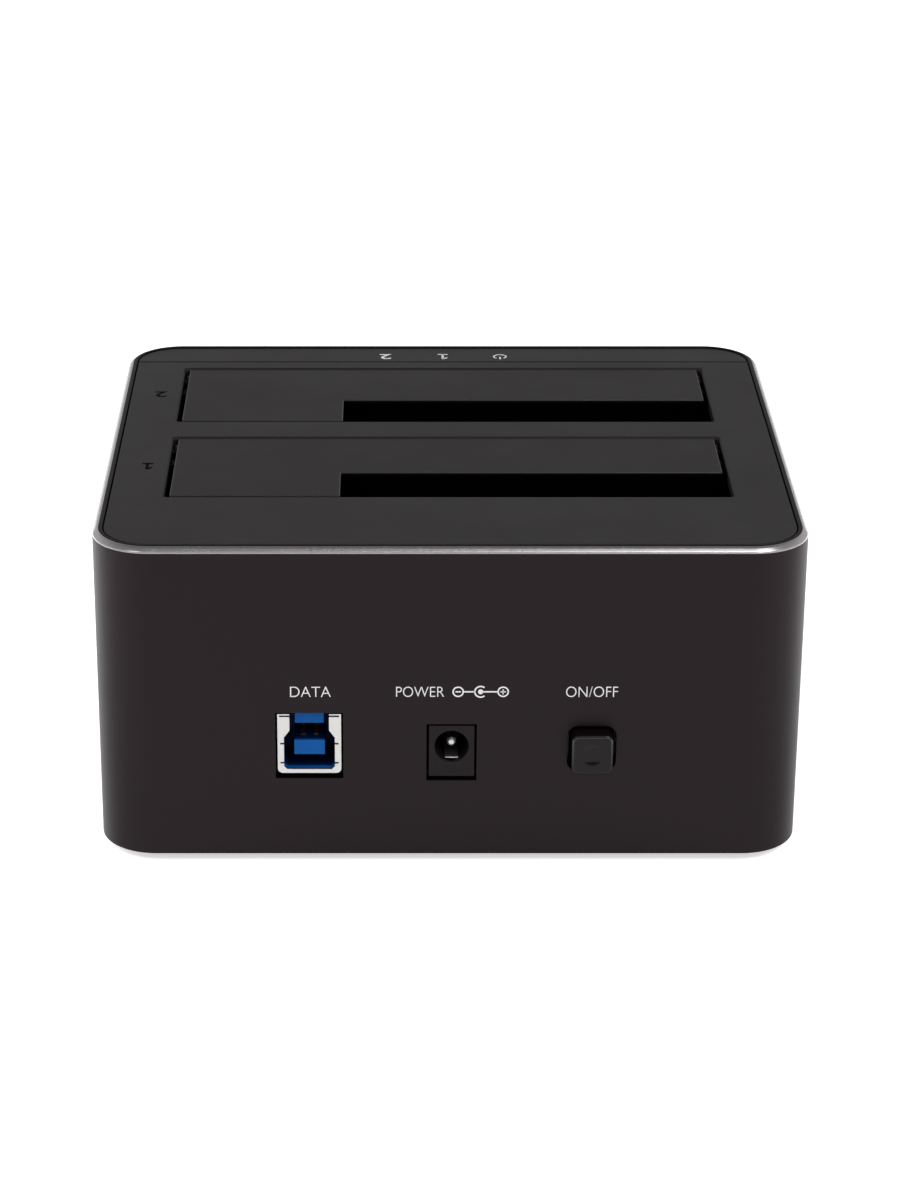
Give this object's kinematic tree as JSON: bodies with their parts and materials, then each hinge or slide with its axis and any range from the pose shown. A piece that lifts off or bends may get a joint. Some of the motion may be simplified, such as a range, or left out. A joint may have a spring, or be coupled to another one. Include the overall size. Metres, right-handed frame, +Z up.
{
  "type": "hard drive docking station",
  "caption": "Low box-shaped docking station with upright drive bays under sprung L-shaped flaps, and a data socket, power inlet and push button on its rear face.",
  "frame": {"origin": "middle of the object's box on the table, under its feet", "axes": "+X to the right seen from the ports, +Y from the port face towards the front, +Z up"},
  "size_m": [0.1334, 0.1186, 0.0645],
  "materials": {
    "sleeve": "fine blasted black anodised, bright cut rim",
    "deck": "fine matt texture",
    "base": "matt texture",
    "feet": "matt",
    "screws": "zinc plated",
    "wells": "matt",
    "flaps": "fine matt texture",
    "steel": "bright wire",
    "socket_plastic": "satin",
    "contacts": "gold flashed",
    "board": "solder mask",
    "chip_plastic": "matt",
    "cans": "satin",
    "bright_metal": "bright nickel",
    "blue_plastic": "satin",
    "plunger": "matt",
    "button": "satin",
    "leds": "clear resin",
    "light_guide": "clear acrylic"
  },
  "bodies": {
    "casing": {"outer_sleeve": "sleeve", "top_cover": "deck", "base_plate": "base", "rubber_feet": "feet", "case_screws": "screws", "rear_bay_well": "wells", "front_bay_well": "wells", "bay_well_screws": "screws", "rear_flap_pin": "steel", "front_flap_pin": "steel", "rear_flap_spring": "steel", "front_flap_spring": "steel", "rear_sata_socket": "socket_plastic", "front_sata_socket": "socket_plastic", "rear_sata_contacts": "contacts", "front_sata_contacts": "contacts", "main_board": "board", "board_screws": "screws", "bridge_chip": "chip_plastic", "memory_chip": "chip_plastic", "capacitors": "cans", "inductors": "chip_plastic", "usb_shell": "bright_metal", "usb_insulator": "blue_plastic", "usb_contacts": "contacts", "dc_jack_body": "socket_plastic", "dc_jack_pin": "bright_metal", "dc_jack_spring": "bright_metal", "switch_body": "chip_plastic", "indicator_leds": "leds", "light_guide": "light_guide"},
    "rear_flap": {"rear_flap": "flaps"},
    "front_flap": {"front_flap": "flaps"},
    "button": {"power_button": "button", "switch_plunger": "plunger"}
  },
  "joints": [
    {"name": "rear_flap_hinge", "type": "hinge", "parent": "casing", "child": "rear_flap", "pos_m": [0, -0.0002, 0.062], "axis": [1, 0, 0], "range_deg": [0, 90], "stiffness_Nm_per_rad": 0.01, "springref_deg": -28.65, "deforming": ["rear_flap_spring"]},
    {"name": "front_flap_hinge", "type": "hinge", "parent": "casing", "child": "front_flap", "pos_m": [0, 0.0414, 0.062], "axis": [1, 0, 0], "range_deg": [0, 90], "stiffness_Nm_per_rad": 0.01, "springref_deg": -28.65, "deforming": ["front_flap_spring"]},
    {"name": "power_button_push", "type": "slide", "parent": "casing", "child": "button", "axis": [0, 1, 0], "range_m": [0, 0.0022], "stiffness_N_per_m": 400, "springref_m": -0.001}
  ]
}
